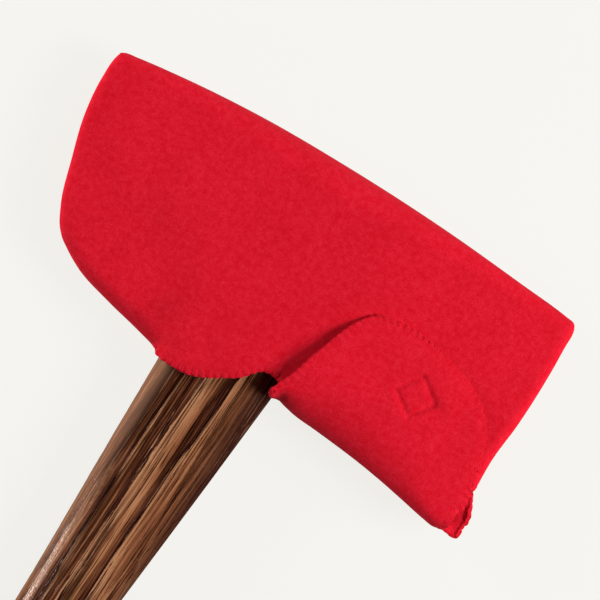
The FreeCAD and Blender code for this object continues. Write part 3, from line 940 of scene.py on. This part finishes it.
# ---------------------------------------------------------------- the fastening
# One lockstitch: shares of its length, and how far the thread lies below the face there.
LOCKSTITCH = [(0.04, -0.6), (0.2, -0.1), (0.5, 0.0), (0.8, -0.1), (0.96, -0.6)]


def on_square(across, up):
    """A place across and up from the centre of the turned square of the fastening."""
    x, y = turned(across, up, -BOX_TURN)
    return BOX_CENTRE[0] + x, BOX_CENTRE[1] + y


def box_stitch(name, height):
    """A square of lockstitches that sink into the felt between one hole and the next."""
    stitch, radius = 2.3, 0.22
    corners = [on_square(a * BOX_HALF, b * BOX_HALF)
               for a, b in ((-1, -1), (1, -1), (1, 1), (-1, 1))]
    paths = []
    for start, end in zip(corners, corners[1:] + corners[:1]):
        start, end = np.array(start), np.array(end)
        count = int(round(np.linalg.norm(end - start) / stitch))
        for index in range(count):
            path = []
            for share, dip in LOCKSTITCH:
                spot = start + (end - start) * (index + share) / count
                path.append((spot[0], spot[1], float(height(spot[0], spot[1])) + dip))
            paths.append(path)
    return tubes(name, paths, radius, THREAD_RED)


def pad(name, face, thickness, material, pile):
    """One half of the fastening: a woven square on a face, and the pile standing on it.

    The square lies on top of the face where pile is up, and hangs from it where it is down.
    """
    share = np.linspace(-PAD_HALF, PAD_HALF, PAD_CELLS + 1)
    x, y = on_square(*np.meshgrid(share, share))
    top = face(x, y) + (thickness if pile > 0 else 0.0)
    grid = np.dstack([x, y, top])
    square = thick_sheet(name, grid, material, thickness=thickness, swell=0.2)
    paths = []
    for r in range(1, PAD_CELLS):
        for k in range(1, PAD_CELLS):
            foot = grid[r, k] - (0, 0, 0.0 if pile > 0 else thickness)
            lean = 0.28 if (r + k) % 2 else -0.28
            paths.append([foot, foot + (lean, 0.1, pile * 0.7), foot + (lean * 1.9, 0.2, pile),
                          foot + (lean * 2.6, 0.3, pile * 0.6)])
    return square, tubes(name + "_pile", paths, PILE_RADIUS, material, sides=4)


def seam_stitches():
    """The thread that closes the turned seam, just inside its groove."""
    stitch, inset, dip = 1.5, 1.3, 0.3
    count = int(runs_along(SEAM_LINE)[-1] / stitch)
    line = along(SEAM_LINE, np.linspace(0.004, 0.996, count))
    way = unit(np.gradient(line, axis=0))
    inward = np.stack([way[:, 1], -way[:, 0]], axis=1)
    height = dip * np.where(np.arange(len(line)) % 2, 1.0, -1.0)
    path = np.column_stack([line + inset * inward, height])
    return tubes("seam_stitching", [path], SEAM_THREAD_RADIUS, THREAD_RED)


# ---------------------------------------------------------------- building the cover
front, front_grid = front_panel()
flap, flap_cells, flap_inner_cells = closing_flap()
back, back_grid = back_panel(flap_cells[0], flap_inner_cells[0])

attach(front, "cover")
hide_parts("cover_front_panel")
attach(back, "cover")
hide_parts("cover_back_panel", "left_heel_wall")


def bends_with_flap(piece):
    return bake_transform(piece)


bends_with_flap(flap)
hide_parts("closing_flap", "flap_gusset")

front_mouth = [(0, c) for c in range(HEEL_COLUMNS + 2, COLUMNS + 1)]
back_mouth = [(0, c) for c in range(HEEL_COLUMNS + 2, HEEL_COLUMNS + MOUTH_COLUMNS + 1)]
back_flare = [(r, COLUMNS) for r in range(ROWS) if back_grid[r, -1, 1] < SEAM_END[1]]
flap_rows, flap_columns = flap_cells.shape[:2]
flap_edge = ([(r, flap_columns - 1) for r in range(flap_rows)]
             + [(flap_rows - 1, c) for c in range(flap_columns - 2, -1, -1)]
             + [(r, 0) for r in range(flap_rows - 2, -1, -1)])

front_thread = tubes("mouth_overlock", overlock(*edge_frame(front_grid, front_mouth)),
                     THREAD_RADIUS, THREAD_RED)
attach(front_thread, "cover")
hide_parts("mouth_edge_stitch")

back_thread = tubes("back_mouth_overlock",
                    overlock(*edge_frame(back_grid, back_mouth, -1.0))
                    + overlock(*edge_frame(back_grid, back_flare, -1.0)),
                    THREAD_RADIUS, THREAD_RED)
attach(back_thread, "cover")
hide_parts("back_mouth_edge_stitch")

flap_thread = tubes("flap_overlock", overlock(*edge_frame(flap_cells, flap_edge)),
                    THREAD_RADIUS, THREAD_RED)
bends_with_flap(flap_thread)
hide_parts("flap_edge_stitch")

flap_box = box_stitch("flap_box_stitch", flap_height)
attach(flap_box, "flap")
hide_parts("hook_pad_stitch")

loop_square, loops = pad("loop_square", unsewn_height, LOOP_THICK, LOOP_TAPE, 0.6)
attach(loop_square, "cover")
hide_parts("loop_pad")
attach(loops, "cover")

hook_square, hooks = pad("hook_square", flap_inner_height, HOOK_THICK, HOOK_TAPE, -0.5)
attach(hook_square, "flap")
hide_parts("hook_pad")
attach(hooks, "flap")

loop_box = box_stitch("loop_box_stitch", lambda x, y: unsewn_height(x, y) + LOOP_THICK)
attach(loop_box, "cover")
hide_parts("loop_pad_stitch")

seam = seam_stitches()
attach(seam, "cover")
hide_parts("seam_thread")

# ---------------------------------------------------------------- materials of CAD nodes
cad_finish = {
    "axe_head": axe_steel_material(),
    "steel_wedge": axe_steel_material(),
    "handle": scorched_wood_material(),
    "wooden_wedge": sawn_wood_material(),
}
for node, finish in cad_finish.items():
    for material_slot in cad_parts[node].material_slots:
        material_slot.material = finish

# ---------------------------------------------------------------- floor, light, camera
COVER_CENTRE = (15.4, -45.5)
VIEW_WIDTH = 324.0
VIEW_ROLL = 33.55              # degrees from the picture's upright to the handle
LENS, SENSOR = 120.0, 36.0


def add_floor():
    size = 6.0
    corners = [(-size, -size), (size, -size), (size, size), (-size, size)]
    mesh = bpy.data.meshes.new("studio_floor")
    z = (FLOOR_Z - 0.05) * MM
    mesh.from_pydata([(x, y, z) for x, y in corners], [], [(0, 1, 2, 3)])
    mesh.materials.append(floor_material())
    floor = bpy.data.objects.new("studio_floor", mesh)
    floor.visible_glossy = False
    bpy.context.collection.objects.link(floor)


def add_area_light(name, towards, power, aim=COVER_CENTRE, distance=1.5, size=0.7,
                   lights="all", colour=(1.0, 1.0, 1.0)):
    """A square soft light that looks at a place on the axe, and lights all or one kind."""
    light = bpy.data.lights.new(name, "AREA")
    light.size = size
    light.energy = power
    light.color = colour
    lamp = bpy.data.objects.new(name, light)
    target = Vector(place((*aim, 0)))
    lamp.location = target + Vector(towards).normalized() * distance
    lamp.rotation_euler = (target - lamp.location).to_track_quat("-Z", "Y").to_euler()
    lamp.visible_camera = False
    lamp.visible_glossy = lights != "colour"
    lamp.visible_diffuse = lights != "gloss"
    bpy.context.collection.objects.link(lamp)


def add_world():
    """A pale room beyond the floor, which only the camera sees."""
    world = bpy.data.worlds.new("studio")
    world.use_nodes = True
    set_inputs(world.node_tree.nodes["Background"],
               {"Color": (1.0, 0.99, 0.955, 1.0), "Strength": 0.9})
    world.cycles_visibility.diffuse = False
    world.cycles_visibility.glossy = False
    bpy.context.scene.world = world


def add_camera():
    camera = bpy.data.cameras.new("camera")
    camera.lens, camera.sensor_width = LENS, SENSOR
    viewer = bpy.data.objects.new("camera", camera)
    distance = VIEW_WIDTH * LENS / SENSOR
    viewer.location = Vector(place((*COVER_CENTRE, distance)))
    viewer.rotation_euler = (0, 0, math.radians(VIEW_ROLL))
    bpy.context.collection.objects.link(viewer)
    bpy.context.scene.camera = viewer


add_floor()
add_area_light("key", (0.79, 0.24, 0.57), 29.8, lights="colour")
add_area_light("fill", (-0.96, 0.0, 0.26), 25.5, lights="colour")
add_area_light("top", (0.0, 0.8, 0.6), 4.0)
add_area_light("low", (0.1, -0.9, 0.42), 0.9, lights="colour")
add_area_light("glint", (-0.92, 0.0, 0.40), 0.7, aim=(-19.0, -310.0), distance=0.25, size=0.03,
               lights="gloss", colour=(1.0, 0.86, 0.80))
add_world()
add_camera()
bpy.context.scene.view_settings.view_transform = "Standard"
